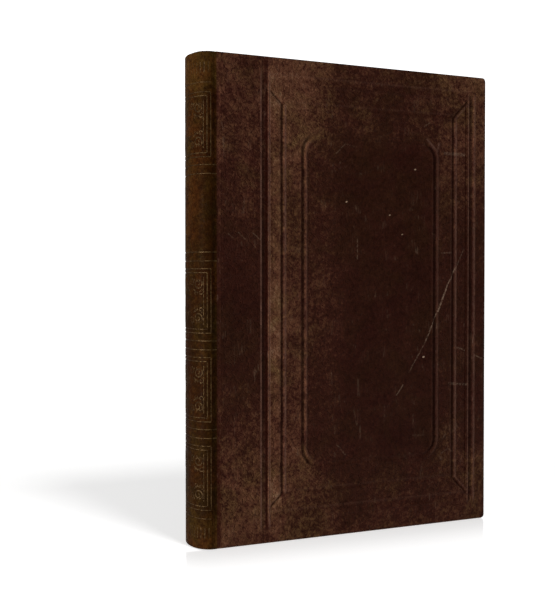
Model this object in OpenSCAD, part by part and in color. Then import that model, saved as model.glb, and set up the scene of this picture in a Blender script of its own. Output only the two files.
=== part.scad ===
// Antique leather book: a rounded hollow back, boards covered in full leather
// and a blind-stamped frame with a rounded panel on each cover.
// It stands on its tail, with the spine at -X and the front cover facing -Y.
// The origin is at the middle of the footprint. All lengths are millimetres.

/* [Covers] */
// Height of the covers, from tail to head
cover_h = 220; // [180:1:300]
// Width of a cover, from its joint to the fore-edge
cover_w = 143.4; // [125:0.1:200]
// Thickness of the closed book over both covers
book_t = 24; // [20:0.5:50]
// Thickness of a board
board_t = 2.2; // [1.5:0.1:3]
// Thickness of the leather
leather_t = 1.2; // [1:0.05:1.6]
// Thickness of the leather where it is pared and turned in
turnin_t = 0.4; // [0.3:0.05:0.8]
// Width of the turn-ins inside the boards
turnin_w = 14; // [8:0.5:20]
// Rounding of the fore-edge corners, worn by use
corner_r = 1.8; // [0.5:0.1:4]
// Rounding of a cover's outer edges
edge_r = 1; // [0.5:0.1:1.2]

/* [Back] */
// Half of the angle that the rounded back spans
back_angle = 25; // [18:1:35]
// Radius of the shoulder where the back turns into a cover
shoulder_r = 6.5; // [5:0.1:8]
// Flat strip between the shoulder and the joint
joint_flat = 1.9; // [1.5:0.1:5]
// Thickness of the card inlay inside the back
inlay_t = 0.5; // [0.3:0.1:1]
// Hollow between the leather back and the lining of the text block
hollow_gap = 0.3; // [0.2:0.05:0.8]
// Thickness of the cloth and paper lining on the text block's back
lining_t = 0.4; // [0.3:0.1:0.8]
// Depth that the back's leather is turned in at head and tail
back_turnin = 12; // [6:0.5:20]
// Rounding of the back's outer edge at head and tail
cap_r = 0.8; // [0.3:0.1:1]

/* [Text block] */
// Square: how far the boards stand past the leaves
square = 3; // [2:0.1:5]
// Hollow of the fore-edge, which follows the rounding of the back
fore_hollow = 2.4; // [1:0.1:4]
// Thickness of an endpaper leaf
paper_t = 0.2; // [0.1:0.05:0.3]
// Number of sunk sewing cords
cord_count = 5; // [3:1:7]
// Thickness of a sewing cord
cord_d = 1.8; // [1:0.1:2.4]
// Distance from head or tail to the first cord
cord_inset = 32; // [20:1:50]
// Thickness of the bead of a head or tail band
band_d = 2.2; // [1.5:0.1:2.6]
// Depth of the band's cloth tab on the back of the leaves
band_tab = 10; // [5:1:15]
// Width of the lining cloth's flap on each board
flap_w = 25; // [15:1:35]
// Distance from head and tail to the lining cloth's flap
flap_inset = 17; // [16:1:30]

/* [Stamped frame on the covers] */
// Distance from the joint to the outer channel
frame_from_joint = 21.2; // [14:0.1:30]
// Distance from the fore-edge to the outer channel
frame_from_fore = 6.7; // [4:0.1:14]
// Distance from the tail to the outer channel
frame_from_tail = 10; // [6:0.1:18]
// Distance from the head to the outer channel
frame_from_head = 8; // [6:0.1:18]
// Width of the outer channel
channel_w = 4; // [2:0.1:6]
// Width of each sloping wall of the channel
channel_wall = 0.8; // [0.4:0.1:1.2]
// Depth of the outer channel
channel_depth = 0.75; // [0.3:0.05:0.8]
// Width of the mitred moulding inside the channel
moulding_w = 7.2; // [4:0.1:10]
// Width of the bevel on the moulding's outer part
bevel_w = 5.2; // [3:0.1:8]
// Depth of the moulding's outer edge
moulding_depth = 0.25; // [0.1:0.05:0.5]
// Width of the groove inside the moulding and of the mitre lines
line_w = 1.2; // [0.8:0.1:2]
// Depth of that groove
line_depth = 0.5; // [0.2:0.05:0.7]
// Distance from the moulding to the panel at the sides
panel_side = 9.8; // [5:0.1:16]
// Distance from the moulding to the panel at head and tail
panel_end = 13; // [5:0.1:20]
// Width of the groove round the panel
panel_line_w = 2; // [1:0.1:3]
// Depth of the groove round the panel
panel_line_depth = 0.6; // [0.2:0.05:0.75]
// Corner radius of the panel
panel_r = 7.5; // [3:0.5:15]
// How far the line and the panel lie off the frame's middle, towards the joint
panel_off_x = 1; // [0:0.1:2]
// How far the line and the panel lie off the frame's middle, towards the tail
panel_off_z = 0.6; // [0:0.1:2]

/* [Tooling on the back] */
// Width of a tooled fillet
fillet_w = 0.55; // [0.3:0.05:0.8]
// Depth of a tooled fillet
fillet_depth = 0.25; // [0.1:0.05:0.4]
// Distance from tail to the lowest frame
panels_from_tail = 17.6; // [14:0.1:30]
// Height of a tooled frame on the back
back_frame_h = 28.4; // [20:0.1:34]
// Distance from one frame to the next, with the double fillet between them
back_frame_pitch = 39.2; // [36:0.1:44]
// Distance between the two fillets of a double fillet
fillet_pair = 3.9; // [2.5:0.1:6]
// Distance from the uppermost frame's foot to the head
top_frame_from_head = 46.4; // [40:0.1:60]
// Half the width of a tooled frame, along the curve
back_frame_half = 14.9; // [10:0.1:16]
// Distance between a frame's nested fillets
fillet_nest = 1.7; // [1:0.1:3]
// Distance from head or tail to the single fillet there
end_fillet_inset = 13.8; // [12:0.1:16]
// Height of the comb of strokes at the head and at the tail
comb_h = 4.8; // [2:0.1:6]
// Distance from head or tail to the comb
comb_inset = 5; // [3:0.1:8]
// Distance between strokes of the comb
comb_pitch = 2; // [1.5:0.1:3]

/* [Fit] */
// Clearance between the leather back and a cover at the joint
joint_gap = 0.2; // [0.1:0.05:0.4]
// Clearance between a closed cover and the leaves
page_gap = 0.2; // [0.1:0.05:0.4]
// Clearance of a sewing cord in its kerf
cord_gap = 0.1; // [0.05:0.05:0.2]

/* [Hidden] */

// Angles are in degrees, so an arc length times this, over its radius, is a turn
DEG = 180 / PI;
// Overshoot of a cutter past the surface that it cuts
over = 1;
// Lap of neighbouring cutters at a mitre
lap = 0.01;
// Facets of the back's arc, of each shoulder's arc and of a small rounding, and the
// steps of the rounding at the back's head and tail
back_facets = 10;
shoulder_facets = 5;
round_facets = 4;
cap_steps = 3;

// Section of the back: one wide arc between two shoulder arcs
half_t = book_t / 2;
back_r = shoulder_r + (half_t - shoulder_r) / sin(back_angle);
back_depth = joint_flat + back_r - (back_r - shoulder_r) * cos(back_angle);
joint_x = back_depth - (cover_w + back_depth) / 2;
fore_x = joint_x + cover_w;
shoulder_x = joint_x - joint_flat;
shoulder_y = half_t - shoulder_r;
back_x = shoulder_x + (back_r - shoulder_r) * cos(back_angle);
back_len = back_r * back_angle / DEG;
shoulder_len = shoulder_r * (90 - back_angle) / DEG;
round_len = back_len + shoulder_len;
leather_end = round_len + joint_flat - joint_gap;
breaks = concat(
    [for (i = [shoulder_facets:-1:1]) -back_len - shoulder_len * i / shoulder_facets],
    [for (i = [0:back_facets]) back_len * (2 * i / back_facets - 1)],
    [for (i = [1:shoulder_facets]) back_len + shoulder_len * i / shoulder_facets]);

// Depths below the back's outer surface
turned_d = leather_t + inlay_t + turnin_t;
lining_d = turned_d + hollow_gap;
block_d = lining_d + lining_t;

// Layers of a cover, measured from the middle plane of the book
skin_y = half_t - leather_t;
board_y = skin_y - board_t;
turned_y = board_y - turnin_t;
paste_y = turned_y - paper_t;
leaf_y = paste_y - page_gap;
block_y = leaf_y - paper_t;
board_x = joint_x + joint_gap;
board_fore_x = fore_x - leather_t;
paste_inset = square + paper_t;

// Leaves
block_end = leather_end - joint_gap;
block_x = joint_x - 2 * joint_gap;
block_fore_x = fore_x - square;
block_top = cover_h - square;
fore_r = (block_y * block_y + fore_hollow * fore_hollow) / (2 * fore_hollow);
cord_pitch = (cover_h - 2 * cord_inset) / (cord_count - 1);
cord_sink = cord_d + 2 * cord_gap;
cord_turn = back_angle - 2 * cord_gap / back_r * DEG;
band_turn = asin(block_y / (back_r - block_d)) - 0.5;
band_r = band_d / 2;

// Stamped frame, measured from its own centre on the cover
frame_half_w = (cover_w - frame_from_joint - frame_from_fore) / 2;
frame_half_h = (cover_h - frame_from_tail - frame_from_head) / 2;
frame_u = frame_from_joint + frame_half_w;
frame_v = frame_from_tail + frame_half_h;
moulding_end = channel_w + moulding_w;
line_half_w = frame_half_w - moulding_end;
line_half_h = frame_half_h - moulding_end;
panel_half_w = line_half_w - panel_side;
panel_half_h = line_half_h - panel_end;
panel_step = panel_line_w / 4;

// Crease in the leather along each joint
crease_half_w = 1.9;
crease_depth = 0.4;
crease_r = (crease_half_w * crease_half_w + crease_depth * crease_depth) / (2 * crease_depth);

// Heights of the tooled frames and double fillets on the back
low_frames = [for (i = [0:2]) panels_from_tail + back_frame_pitch * i];
top_frame = cover_h - top_frame_from_head;
frame_feet = concat(low_frames, [top_frame]);
fillet_rise = (back_frame_pitch - back_frame_h - fillet_pair) / 2;
pair_feet = concat([for (z = low_frames) z + back_frame_h + fillet_rise],
    [top_frame - fillet_rise - fillet_pair]);
comb_count = floor(back_frame_half / comb_pitch);

leather_brown = [0.2, 0.11, 0.065];
back_brown = [0.24, 0.15, 0.07];
board_grey = [0.52, 0.44, 0.34];
leaf_cream = [0.79, 0.7, 0.54];
endpaper_tan = [0.7, 0.6, 0.45];
cloth_buff = [0.75, 0.71, 0.62];
cord_buff = [0.62, 0.52, 0.36];
band_red = [0.5, 0.2, 0.15];

// Turn of the back's surface at arc length s from the middle of the back
function turn_at(s) = abs(s) <= back_len
    ? s / back_r * DEG
    : sign(s) * min(90, back_angle + (abs(s) - back_len) / shoulder_r * DEG);

// Point at arc length s, positive towards the front cover, and depth d
function back_point(s, d) =
    let (turn = turn_at(s),
        wide = abs(s) <= back_len,
        r = (wide ? back_r : shoulder_r) - d,
        x = wide ? back_x : shoulder_x + max(0, abs(s) - round_len),
        y = wide ? 0 : -sign(s) * shoulder_y)
    [x - r * cos(turn), y - r * sin(turn)];

// Arc lengths from s0 to s1, with the facets' edges between them
function stations(s0, s1) = concat([s0], [for (s = breaks) if (s > s0 && s < s1) s], [s1]);

// Points along the back at one depth
function back_line(s0, s1, d) = [for (s = stations(s0, s1)) back_point(s, d)];

function reversed(points) = [for (i = [len(points) - 1:-1:0]) points[i]];

// A rectangle from corner a to corner b, its corners rounded by r, in the order
// low left, low right, high right, high left
function rounded(a, b, r) =
    let (corners = [a, [b[0], a[1]], b, [a[0], b[1]]],
        inward = [[1, 1], [-1, 1], [-1, -1], [1, -1]])
    [for (k = [0:3]) for (i = [0:round_facets])
        let (t = 180 + 90 * k + 90 * i / round_facets)
        corners[k] + r[k] * (inward[k] + [cos(t), sin(t)])];

// Concave fore-edge, from the front side to the rear side
function fore_edge() =
    let (turn = asin(block_y / fore_r), steps = 2 * round_facets)
    [for (i = [-steps:steps])
        let (t = turn * i / steps)
        [block_fore_x - fore_hollow + fore_r * (1 - cos(t)), fore_r * sin(t)]];

// A layer that follows the back between two arc lengths, depths and heights
module back_layer(s0, s1, d0, d1, z0, z1) {
    translate([0, 0, z0])
        linear_extrude(z1 - z0)
            polygon(concat(back_line(s0, s1, d0), reversed(back_line(s0, s1, d1))));
}

// Stands a drawing on the front cover: x from the joint, y from tail to head, z outwards
module on_cover() {
    translate([joint_x, -half_t, 0])
        rotate([90, 0, 0])
            children();
}

// A flat sheet or board inside the front cover, between two depths
module cover_sheet(x0, x1, y_outer, y_inner, z_inset) {
    translate([x0, -y_outer, z_inset])
        cube([x1 - x0, y_outer - y_inner, cover_h - 2 * z_inset]);
}

// Crease along the joint of the front cover
module joint_crease() {
    translate([joint_x, -half_t - crease_r + crease_depth, -over])
        cylinder(r = crease_r, h = cover_h + 2 * over, $fn = 96);
}

// Cuts a section, given as distance inwards and height, round a mitred rectangle
module mitred_cut(half_w, half_h, section, reach) {
    for (k = [0:3]) {
        along = k % 2 == 0 ? half_w : half_h;
        out = k % 2 == 0 ? half_h : half_w;
        rotate(90 * k)
            intersection() {
                translate([-along - over, out, 0])
                    rotate([90, 0, 90])
                        linear_extrude(2 * (along + over))
                            polygon([for (p = section) [-p[0], p[1]]]);
                translate([0, 0, -over])
                    linear_extrude(2 * over + over)
                        polygon([[-along - over - lap, out + over],
                            [-along + reach - lap, out - reach],
                            [along - reach + lap, out - reach],
                            [along + over + lap, out + over]]);
            }
    }
}

// Groove between two rounded rectangles, the first inset from the panel's edge
module panel_groove(inset, width, depth) {
    half = [panel_half_w - inset, panel_half_h - inset];
    inner = half - [width, width];
    r_out = panel_r - inset;
    r_in = r_out - width;
    translate([0, 0, -depth])
        difference() {
            linear_extrude(depth + over)
                polygon(rounded(-half, half, [r_out, r_out, r_out, r_out]));
            translate([0, 0, -over])
                linear_extrude(depth + 3 * over)
                    polygon(rounded(-inner, inner, [r_in, r_in, r_in, r_in]));
        }
}

// The stamped design: channel, bevelled moulding, and line with mitres and panel
module stamping() {
    channel = [[0, over], [0, 0], [channel_wall, -channel_depth],
        [channel_w - channel_wall, -channel_depth], [channel_w, -moulding_depth],
        [channel_w + bevel_w, 0], [channel_w + bevel_w, over]];
    line = [[0, over], [0, 0], [line_w / 2, -line_depth], [line_w, 0], [line_w, over]];
    translate([frame_u, frame_v, 0])
        mitred_cut(frame_half_w, frame_half_h, channel, channel_w + bevel_w + over);
    translate([frame_u - panel_off_x, frame_v - panel_off_z, 0]) {
        mitred_cut(line_half_w, line_half_h, line, line_w + over);
        for (x = [-1, 1], y = [-1, 1])
            translate([x * line_half_w, y * line_half_h, 0])
                rotate(atan2(y, x))
                    translate([-line_w / 2, -line_w / 4, -line_depth])
                        cube([bevel_w * sqrt(2), line_w / 2, line_depth + over]);
        panel_groove(0, panel_line_w, panel_line_depth / 2);
        panel_groove(panel_step, panel_line_w - 2 * panel_step, panel_line_depth);
    }
}

// Leather of the front cover: the stamped outside, three edges and the turn-ins
module cover_leather() {
    difference() {
        intersection() {
            linear_extrude(cover_h)
                polygon(rounded([joint_x, -half_t], [fore_x, -turned_y],
                    [0, edge_r, turnin_t, 0]));
            translate([0, -turned_y, 0])
                rotate([90, 0, 0])
                    linear_extrude(half_t)
                        polygon(rounded([joint_x - over, 0], [fore_x, cover_h],
                            [0, corner_r, corner_r, 0]));
            translate([joint_x - over, 0, 0])
                rotate([90, 0, 90])
                    linear_extrude(cover_w + 2 * over)
                        polygon(rounded([-half_t, 0], [-turned_y, cover_h],
                            [edge_r, turnin_t, turnin_t, edge_r]));
        }
        cover_sheet(joint_x - over, board_fore_x, skin_y, board_y, leather_t);
        cover_sheet(joint_x - over, board_fore_x - turnin_w, skin_y, turned_y - over,
            leather_t + turnin_w);
        joint_crease();
        on_cover()
            stamping();
    }
}

module cover_board() {
    cover_sheet(board_x, board_fore_x, skin_y, board_y, leather_t);
}

// Flap of the lining cloth, glued inside the board along the joint
module cover_flap() {
    cover_sheet(board_x, board_x + flap_w, board_y, board_y - paper_t, flap_inset);
}

// Pastedown: it steps down from the turn-ins and the flap to the board
module cover_pastedown() {
    window_x = board_fore_x - turnin_w;
    window_z = leather_t + turnin_w;
    difference() {
        cover_sheet(board_x, fore_x - paste_inset, board_y, paste_y, paste_inset);
        // Turn-ins at tail, head and fore-edge
        for (z = [0, cover_h - window_z])
            translate([board_x - over, -board_y - over, z])
                cube([cover_w, turnin_t + over, window_z]);
        translate([window_x, -board_y - over, 0])
            cube([cover_w, turnin_t + over, cover_h]);
        // Flap, and the step down to the board inside the turn-ins
        translate([board_x - over, -board_y - over, flap_inset])
            cube([flap_w + over, paper_t + over, cover_h - 2 * flap_inset]);
        translate([board_x + flap_w + paper_t, -board_y + paper_t, window_z + paper_t])
            cube([window_x - board_x - flap_w - 2 * paper_t, turnin_t + over,
                cover_h - 2 * (window_z + paper_t)]);
    }
}

// One tooled fillet round the back, between two arc lengths
module fillet_across(half_s, z) {
    back_layer(-half_s, half_s, -over, fillet_depth, z - fillet_w / 2, z + fillet_w / 2);
}

// One upright stroke on the back at arc length s
module fillet_up(s, z0, z1) {
    back_layer(s - fillet_w / 2, s + fillet_w / 2, -over, fillet_depth, z0, z1);
}

// A frame of nested fillets on the back, with its foot at height z: two across and
// three upright
module back_frame(z) {
    for (i = [0:2]) {
        inset = fillet_nest * i;
        half_s = back_frame_half - inset;
        if (i < 2)
            for (height = [z + inset, z + back_frame_h - inset])
                fillet_across(half_s, height);
        for (side = [-1, 1])
            fillet_up(side * half_s, z + inset, z + back_frame_h - inset);
    }
}

// Rounded outer edge of the back at the head, cut in fine steps
module cap_rounding() {
    for (i = [1:cap_steps]) {
        t = 90 * i / cap_steps;
        back_layer(-leather_end - over, leather_end + over, -over,
            cap_r * (1 - sin(t - 45 / cap_steps)), cover_h - cap_r * (1 - cos(t)),
            cover_h + over);
    }
}

module text_block() {
    color(leaf_cream)
        difference() {
            translate([0, 0, square])
                linear_extrude(cover_h - 2 * square)
                    polygon(concat(back_line(-block_end, block_end, block_d),
                        [[block_x, -block_y]], fore_edge(), [[block_x, block_y]]));
            for (i = [0:cord_count - 1])
                back_layer(-back_len, back_len, block_d - over, block_d + cord_sink,
                    cord_inset + cord_pitch * i - cord_sink / 2,
                    cord_inset + cord_pitch * i + cord_sink / 2);
        }
}

module sewing_cords() {
    color(cord_buff)
        for (i = [0:cord_count - 1])
            translate([back_x, 0, cord_inset + cord_pitch * i])
                rotate([0, 0, 180 - cord_turn])
                    rotate_extrude(angle = 2 * cord_turn, $fn = 48)
                        translate([back_r - block_d - cord_sink / 2, 0])
                            circle(d = cord_d, $fn = 12);
}

module spine_lining() {
    color(cloth_buff)
        back_layer(-block_end, block_end, lining_d, block_d, square + band_tab,
            block_top - band_tab);
}

// Stuck-on band at the head: a bead on the leaves and a tab down their back
module end_band() {
    translate([back_x, 0, block_top])
        rotate([0, 0, 180 - band_turn])
            rotate_extrude(angle = 2 * band_turn, $fn = 72)
                union() {
                    intersection() {
                        translate([back_r - lining_d - band_r, band_r / 2])
                            circle(r = band_r, $fn = 18);
                        square([back_r, band_d]);
                    }
                    translate([back_r - block_d, -band_tab])
                        square([lining_t - cord_gap, band_tab + band_r / 2]);
                }
}

module head_band() {
    color(band_red)
        end_band();
}

module tail_band() {
    color(band_red)
        translate([0, 0, cover_h])
            mirror([0, 0, 1])
                end_band();
}

module flyleaf() {
    translate([joint_x, -leaf_y, square])
        cube([block_fore_x - joint_x, paper_t, cover_h - 2 * square]);
}

module front_flyleaf() {
    color(endpaper_tan)
        flyleaf();
}

module rear_flyleaf() {
    color(endpaper_tan)
        mirror([0, 1, 0])
            flyleaf();
}

module spine_inlay() {
    color(board_grey)
        back_layer(-round_len, round_len, leather_t, leather_t + inlay_t, leather_t,
            cover_h - leather_t);
}

module spine_leather() {
    color(back_brown)
        difference() {
            back_layer(-leather_end, leather_end, 0, turned_d, 0, cover_h);
            back_layer(-round_len, round_len, leather_t, leather_t + inlay_t, leather_t,
                cover_h - leather_t);
            back_layer(-leather_end - over, leather_end + over, leather_t, turned_d + over,
                back_turnin, cover_h - back_turnin);
            joint_crease();
            mirror([0, 1, 0])
                joint_crease();
            cap_rounding();
            translate([0, 0, cover_h])
                mirror([0, 0, 1])
                    cap_rounding();
            for (z = frame_feet)
                back_frame(z);
            for (z = pair_feet, rise = [0, fillet_pair])
                fillet_across(round_len, z + rise);
            for (z = [end_fillet_inset, cover_h - end_fillet_inset])
                fillet_across(back_frame_half, z);
            for (i = [-comb_count:comb_count], z = [comb_inset, cover_h - comb_inset - comb_h])
                fillet_up(comb_pitch * i, z, z + comb_h);
        }
}

module front_board() {
    color(board_grey)
        cover_board();
}

module front_leather() {
    color(leather_brown)
        cover_leather();
}

module front_hinge_cloth() {
    color(cloth_buff)
        cover_flap();
}

module front_pastedown() {
    color(endpaper_tan)
        cover_pastedown();
}

module rear_board() {
    color(board_grey)
        mirror([0, 1, 0])
            cover_board();
}

module rear_leather() {
    color(leather_brown)
        mirror([0, 1, 0])
            cover_leather();
}

module rear_hinge_cloth() {
    color(cloth_buff)
        mirror([0, 1, 0])
            cover_flap();
}

module rear_pastedown() {
    color(endpaper_tan)
        mirror([0, 1, 0])
            cover_pastedown();
}

text_block();
sewing_cords();
spine_lining();
head_band();
tail_band();
front_flyleaf();
rear_flyleaf();
spine_inlay();
spine_leather();
front_board();
front_leather();
front_hinge_cloth();
front_pastedown();
rear_board();
rear_leather();
rear_hinge_cloth();
rear_pastedown();
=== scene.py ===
"""Looks of the antique leather book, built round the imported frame.

All sizes below are millimetres and repeat the named values of the part's source. On a
cover, u runs from the joint to the fore-edge and v from tail to head. On the back, s is
the arc length from its middle, positive towards the front cover, and z the height.
"""

import functools
import math

import bmesh
import bpy
import numpy as np
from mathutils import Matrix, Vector


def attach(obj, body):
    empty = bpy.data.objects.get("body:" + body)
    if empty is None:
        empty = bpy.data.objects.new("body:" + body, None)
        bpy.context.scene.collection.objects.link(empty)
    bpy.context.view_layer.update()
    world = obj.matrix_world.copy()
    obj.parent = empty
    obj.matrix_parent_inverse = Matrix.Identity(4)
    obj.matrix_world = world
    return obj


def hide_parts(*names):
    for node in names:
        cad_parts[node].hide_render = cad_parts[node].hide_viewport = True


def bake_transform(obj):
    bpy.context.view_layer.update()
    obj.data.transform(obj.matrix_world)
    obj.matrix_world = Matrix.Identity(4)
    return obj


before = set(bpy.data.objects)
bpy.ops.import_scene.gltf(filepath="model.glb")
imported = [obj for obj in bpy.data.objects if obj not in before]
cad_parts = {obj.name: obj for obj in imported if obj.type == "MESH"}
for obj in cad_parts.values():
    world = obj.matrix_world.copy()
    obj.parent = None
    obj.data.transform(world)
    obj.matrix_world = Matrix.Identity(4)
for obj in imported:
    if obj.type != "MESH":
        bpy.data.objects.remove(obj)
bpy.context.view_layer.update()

MM = 0.001

# Sizes of the part
COVER_H, COVER_W, BOOK_T = 220.0, 143.4, 24.0
HALF_T = BOOK_T / 2
BOARD_T, LEATHER_T, TURNIN_T, TURNIN_W, INLAY_T = 2.2, 1.2, 0.4, 14.0, 0.5
CORNER_R, EDGE_R = 1.8, 1.0
BACK_ANGLE, SHOULDER_R, JOINT_FLAT = math.radians(25), 6.5, 1.9
BACK_R = SHOULDER_R + (HALF_T - SHOULDER_R) / math.sin(BACK_ANGLE)
BACK_DEPTH = JOINT_FLAT + BACK_R - (BACK_R - SHOULDER_R) * math.cos(BACK_ANGLE)
JOINT_X = BACK_DEPTH - (COVER_W + BACK_DEPTH) / 2
FORE_X = JOINT_X + COVER_W
SHOULDER_X, SHOULDER_Y = JOINT_X - JOINT_FLAT, HALF_T - SHOULDER_R
BACK_X = SHOULDER_X + (BACK_R - SHOULDER_R) * math.cos(BACK_ANGLE)
BACK_LEN = BACK_R * BACK_ANGLE
ROUND_LEN = BACK_LEN + SHOULDER_R * (math.pi / 2 - BACK_ANGLE)
JOINT_GAP = 0.2
LEATHER_END = ROUND_LEN + JOINT_FLAT - JOINT_GAP
BACK_TURNIN, CAP_R = 12.0, 0.8
SQUARE, FORE_HOLLOW, PAPER_T, PAGE_GAP = 3.0, 2.4, 0.2, 0.2
LINING_D = LEATHER_T + INLAY_T + TURNIN_T + 0.3
BLOCK_D = LINING_D + 0.4
BOARD_Y = HALF_T - LEATHER_T - BOARD_T
PASTE_Y = BOARD_Y - TURNIN_T - PAPER_T
LEAF_Y = PASTE_Y - PAGE_GAP
BLOCK_Y = LEAF_Y - PAPER_T
BLOCK_FORE_X = FORE_X - SQUARE
BAND_D, BAND_TAB = 2.2, 10.0
CREASE_HALF, CREASE_DEPTH = 1.9, 0.4

# The stamped frame: places of its lines on a cover
CHANNEL_U, CHANNEL_V = (23.3, 134.95), (12.2, 210.0)
LINE_U, LINE_V = (31.8, 124.3), (22.0, 199.0)
PANEL_MID, PANEL_HALF, PANEL_R = (78.1, 110.0), (35.65, 75.9), 8.0

# Tooling of the back
FRAME_FEET, FRAME_H, FRAME_HALF, NEST = (17.6, 56.8, 96.0, 173.6), 28.4, 14.9, 1.7
PAIR_FEET, PAIR = (49.45, 88.65, 127.85, 166.25), 3.9
END_FILLETS = (13.8, 206.2)
FILLET_W = 0.55
COMB_PITCH, COMB_H, COMB_INSET = 2.0, 4.8, 5.0

# The plain surfaces of the covers' and the back's skins lie this deep, so that the lips
# beside a stamped line and the gold stay inside the part's own box
LEVEL, BACK_LEVEL = 0.15, 0.1

# Gold stands this much proud of the skin and reaches this deep into it. The scrolls
# stand a little further out than that
GOLD_PROUD, GOLD_ROOT, SCROLL_PROUD = 0.035, 0.05, 0.02

# Thickness of the strips across the joints
LEATHER_STRIP, GOLD_STRIP, PAPER_STRIP = 0.12, 0.05, 0.04

# Seeds of the covers' dents, swells and wear
FRONT_SEED, REAR_SEED = 11, 57


def smooth(x, a, b):
    """0 below a, 1 above b, and a smooth step between."""
    t = np.clip((x - a) / (b - a), 0, 1)
    return t * t * (3 - 2 * t)


def fall(x, a, b):
    """1 below a, 0 above b, and a smooth step between."""
    return 1 - smooth(x, a, b)


def hump(x, half):
    """1 at 0 and falling smoothly to 0 at a distance of half."""
    t = np.clip(1 - (x / half) ** 2, 0, 1)
    return t * t


def within(x, a, b, soft):
    """1 from a to b, with soft ends."""
    return smooth(x, a - soft, a + soft) * fall(x, b - soft, b + soft)


def waves(x, y, seed, size):
    """Gentle uneven waves from -1 to 1, about size mm long, the same on every run."""
    r = np.random.default_rng(seed)
    count = 7
    total = 0
    for _ in range(count):
        turn, phase = r.uniform(0, 2 * math.pi, 2)
        length = size * r.uniform(0.6, 1.7)
        along = x * math.cos(turn) + y * math.sin(turn)
        total = total + np.sin(along * 2 * math.pi / length + phase)
    return total / count * 1.6


def stations(length, dense, coarse):
    """Distances from 0 to length: dense has (start, end, step) where they lie closer."""
    out, x = [0.0], 0.0
    while x < length - 1e-6:
        step = coarse
        for a, b, fine in dense:
            if a - fine <= x < b:
                step = min(step, fine)
            elif x < a < x + step:
                step = min(step, max(a - x, fine))
        x = min(length, x + step)
        out.append(x)
    if out[-1] - out[-2] < 0.05:
        out.pop(-2)
    return np.array(out)


def quads(grid):
    """Faces between the rows of a grid of point numbers."""
    return [face for a, b in zip(grid.tolist(), grid[1:].tolist())
            for face in zip(a, a[1:], b[1:], b)]


def tube(first, rows, count):
    """Faces of a closed tube and its ends: rows of count points each, numbered from first."""
    grid = first + np.arange(rows * count).reshape(rows, count)
    return quads(np.hstack([grid, grid[:, :1]])) + [grid[0].tolist(), grid[-1].tolist()]


def place(name, data, material=None):
    """An object in the scene with this mesh and material, or with this lamp or camera."""
    made = bpy.data.objects.new(name, data)
    bpy.context.collection.objects.link(made)
    if material:
        data.materials.append(material)
    return made


def sideways(path):
    """Unit vectors to the left of a path of points."""
    along = np.gradient(path, axis=0)
    along /= np.maximum(np.linalg.norm(along, axis=1), 1e-9)[:, None]
    return np.stack([-along[:, 1], along[:, 0]], 1)


def build(name, verts, faces, body, material, marks=None, crease=35, replaces=()):
    """A finished piece from points in mm: smooth, with sharp edges, riding on a body.
    """
    mesh = bpy.data.meshes.new(name)
    mesh.from_pydata((np.asarray(verts, float) * MM).tolist(), [], faces)
    for key, values in (marks or {}).items():
        mark = mesh.attributes.new(key, "FLOAT", "POINT")
        mark.data.foreach_set("value", np.asarray(values, np.float32))
    work = bmesh.new()
    work.from_mesh(mesh)
    bmesh.ops.remove_doubles(work, verts=work.verts, dist=1e-7)
    bmesh.ops.recalc_face_normals(work, faces=work.faces)
    work.to_mesh(mesh)
    work.free()
    mesh.shade_smooth()
    mesh.set_sharp_from_angle(angle=math.radians(crease))
    piece = place(name, mesh, material)
    if isinstance(body, str):
        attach(piece, body)
    else:
        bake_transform(piece)
    if replaces:
        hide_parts(*replaces)


# Materials. Colours are linear red, green and blue

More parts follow.
